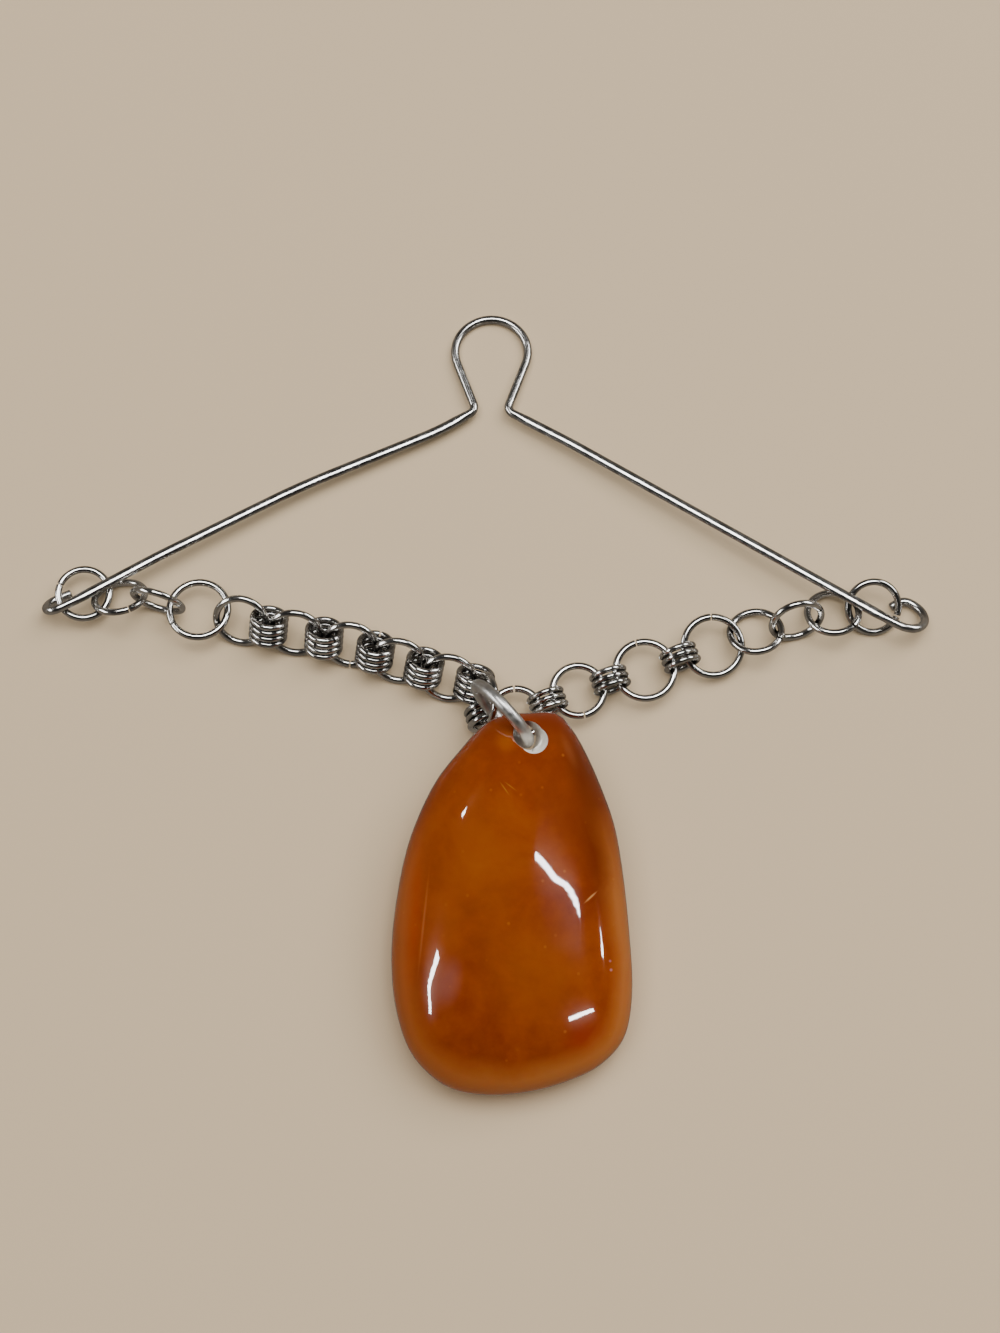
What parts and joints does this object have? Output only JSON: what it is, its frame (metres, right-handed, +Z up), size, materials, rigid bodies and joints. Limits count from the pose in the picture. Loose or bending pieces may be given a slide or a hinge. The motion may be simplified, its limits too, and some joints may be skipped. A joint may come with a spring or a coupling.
{
  "type": "amber pendant tie chain brooch",
  "caption": "Tie chain of bent wire with a keyhole button loop and two hooked arms, joined by a ring chain that carries a domed amber drop on a jump ring.",
  "frame": {"origin": "middle of the button loop, at the height of the surface that the piece lies on", "axes": "+X along the chain from the left hook to the right hook, +Y towards the top of the button loop, +Z up from the surface"},
  "size_m": [0.0802, 0.0725, 0.011],
  "materials": {
    "silver_wire": "bent and flattened silver-coloured wire, bright with fine scratches along the arms",
    "chain_silver": "bright silver-coloured round wire, lightly worn",
    "jump_ring_silver": "polished silver-coloured round wire",
    "amber": "polished honey amber, cloudy inside and lighter at its edge"
  },
  "bodies": {
    "root": {"hanger_wire": "silver_wire", "pendant_ring": "jump_ring_silver", "amber_drop": "amber", "link_01": "chain_silver", "link_02": "chain_silver", "link_03": "chain_silver", "link_04": "chain_silver", "link_05": "chain_silver", "link_06": "chain_silver", "link_07": "chain_silver", "link_08": "chain_silver", "link_09": "chain_silver", "link_10": "chain_silver", "link_11": "chain_silver", "link_12": "chain_silver", "link_13": "chain_silver", "link_14": "chain_silver", "link_15": "chain_silver", "link_16": "chain_silver", "link_17": "chain_silver", "link_18": "chain_silver", "coupler_01": "chain_silver", "coupler_02": "chain_silver", "coupler_03": "chain_silver", "coupler_04": "chain_silver", "coupler_05": "chain_silver", "coupler_06": "chain_silver", "coupler_07": "chain_silver", "coupler_08": "chain_silver", "coupler_09": "chain_silver"}
  },
  "joints": []
}
